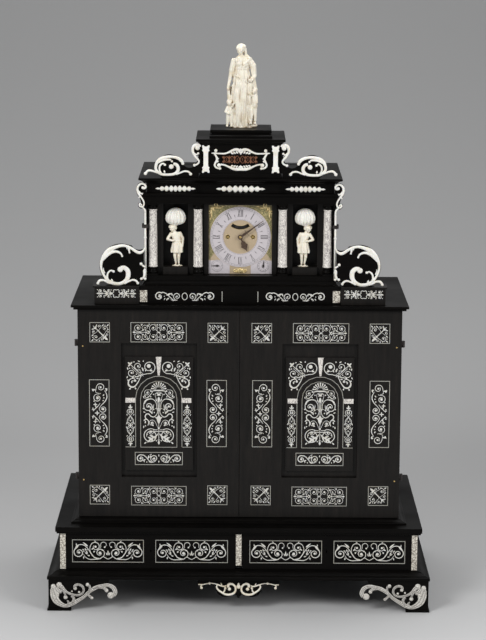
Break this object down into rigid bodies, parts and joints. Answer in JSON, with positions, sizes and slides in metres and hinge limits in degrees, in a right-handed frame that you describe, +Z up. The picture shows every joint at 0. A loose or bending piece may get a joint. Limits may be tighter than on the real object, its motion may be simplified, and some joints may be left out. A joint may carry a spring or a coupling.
{
  "type": "cabinet with clock",
  "caption": "Table cabinet on a drawer stand with double doors, crowned by a columned clock stage, scroll boards and a statue.",
  "frame": {"origin": "centre of the floor rectangle under the feet", "axes": "+Z up, the front with doors, drawers and dial faces -Y"},
  "size_m": [0.95, 0.572, 1.3935],
  "materials": {
    "ebony": "polished black wood with a brown sheen",
    "ivory": "polished, engraved with fine dark lines",
    "oak": "plain oiled interior wood",
    "brass": "gilt, partly matted",
    "silvered_brass": "silvered, engraved with black numerals",
    "blued_iron": "dark blued iron"
  },
  "bodies": {
    "cabinet": {"bracket_feet": "ebony", "pendant": "ebony", "base_moulding": "ebony", "stand_carcase": "ebony", "stand_slab": "ebony", "foot_moulding": "ebony", "case_sides": "ebony", "top_slab": "ebony", "side_pedestals": "ebony", "clock_plinth": "ebony", "stage_case": "ebony", "stage_front": "ebony", "column_ends": "ebony", "entablature": "ebony", "scroll_boards": "ebony", "attic_case": "ebony", "foot_mounts": "ivory", "pendant_mount": "ivory", "base_pilasters": "ivory", "plinth_blocks": "ivory", "column_shafts": "ivory", "niche_figures": "ivory", "frieze_sprays": "ivory", "side_strips": "ivory", "scroll_mounts": "ivory", "attic_mounts": "ivory", "statue": "ivory", "drawer_runners": "oak", "case_back": "oak", "case_shelves": "oak", "dial_plate": "brass", "spandrels": "brass", "movement_frame": "brass", "silvered_rings": "silvered_brass", "case_hinges": "blued_iron"},
    "left_drawer": {"drawer_front_left": "ebony", "drawer_box_left": "oak"},
    "right_drawer": {"drawer_front_right": "ebony", "drawer_box_right": "oak"},
    "left_drawer_bolt": {"drawer_bolt_left": "brass"},
    "right_drawer_bolt": {"drawer_bolt_right": "brass"},
    "left_door": {"door_frame_left": "ebony", "door_panel_left": "ebony", "door_hinge_left": "blued_iron", "door_lock_left": "blued_iron"},
    "right_door": {"door_frame_right": "ebony", "door_panel_right": "ebony", "door_hinge_right": "blued_iron", "door_lock_right": "blued_iron"},
    "left_door_bolt": {"door_bolt_left": "brass"},
    "right_door_bolt": {"door_bolt_right": "brass"},
    "minute_hand": {"minute_hand": "blued_iron"},
    "hour_hand": {"hour_hand": "blued_iron"},
    "left_small_hand": {"left_small_hand": "blued_iron"},
    "right_small_hand": {"right_small_hand": "blued_iron"},
    "left_winder": {"left_winder": "brass"},
    "right_winder": {"right_winder": "brass"},
    "pendulum": {"pendulum": "blued_iron"},
    "hammer": {"hammer": "blued_iron"},
    "back_door": {"back_door": "ebony"}
  },
  "joints": [
    {"name": "left_drawer_slide", "type": "slide", "parent": "cabinet", "child": "left_drawer", "axis": [0, -1, 0], "range_m": [0, 0.25]},
    {"name": "right_drawer_slide", "type": "slide", "parent": "cabinet", "child": "right_drawer", "axis": [0, -1, 0], "range_m": [0, 0.25]},
    {"name": "left_drawer_bolt_slide", "type": "slide", "parent": "left_drawer", "child": "left_drawer_bolt", "axis": [0, 0, 1], "range_m": [0, 0.007]},
    {"name": "right_drawer_bolt_slide", "type": "slide", "parent": "right_drawer", "child": "right_drawer_bolt", "axis": [0, 0, 1], "range_m": [0, 0.007]},
    {"name": "left_door_hinge", "type": "hinge", "parent": "cabinet", "child": "left_door", "pos_m": [-0.4045, -0.19, 0.322], "axis": [0, 0, -1], "range_deg": [0, 110]},
    {"name": "right_door_hinge", "type": "hinge", "parent": "cabinet", "child": "right_door", "pos_m": [0.4045, -0.19, 0.322], "axis": [0, 0, 1], "range_deg": [0, 110]},
    {"name": "left_door_bolt_slide", "type": "slide", "parent": "left_door", "child": "left_door_bolt", "axis": [1, 0, 0], "range_m": [0, 0.007]},
    {"name": "right_door_bolt_slide", "type": "slide", "parent": "right_door", "child": "right_door_bolt", "axis": [-1, 0, 0], "range_m": [0, 0.007]},
    {"name": "minute_hand_turn", "type": "hinge", "parent": "cabinet", "child": "minute_hand", "pos_m": [0, -0.157, 0.922], "axis": [0, 1, 0], "continuous": true},
    {"name": "hour_hand_turn", "type": "hinge", "parent": "cabinet", "child": "hour_hand", "pos_m": [0, -0.157, 0.922], "axis": [0, 1, 0], "continuous": true},
    {"name": "left_small_hand_turn", "type": "hinge", "parent": "cabinet", "child": "left_small_hand", "pos_m": [-0.057, -0.157, 0.85], "axis": [0, 1, 0], "range_deg": [0, 180]},
    {"name": "right_small_hand_turn", "type": "hinge", "parent": "cabinet", "child": "right_small_hand", "pos_m": [0.057, -0.157, 0.85], "axis": [0, 1, 0], "continuous": true},
    {"name": "left_winder_turn", "type": "hinge", "parent": "cabinet", "child": "left_winder", "pos_m": [-0.031, -0.157, 0.922], "axis": [0, 1, 0], "continuous": true},
    {"name": "right_winder_turn", "type": "hinge", "parent": "cabinet", "child": "right_winder", "pos_m": [0.031, -0.157, 0.922], "axis": [0, 1, 0], "continuous": true},
    {"name": "pendulum_swing", "type": "hinge", "parent": "cabinet", "child": "pendulum", "pos_m": [0, -0.11, 0.98], "axis": [0, 1, 0], "range_deg": [-8, 8]},
    {"name": "hammer_lift", "type": "hinge", "parent": "cabinet", "child": "hammer", "pos_m": [0.047, -0.109, 0.968], "axis": [0, 1, 0], "range_deg": [0, 12]},
    {"name": "back_door_hinge", "type": "hinge", "parent": "cabinet", "child": "back_door", "pos_m": [0.078, 0.1174, 0.9], "axis": [0, 0, -1], "range_deg": [0, 100]}
  ],
  "couplings": [
    {"joint": "hour_hand_turn", "follows": "minute_hand_turn", "ratio": 0.083333}
  ]
}
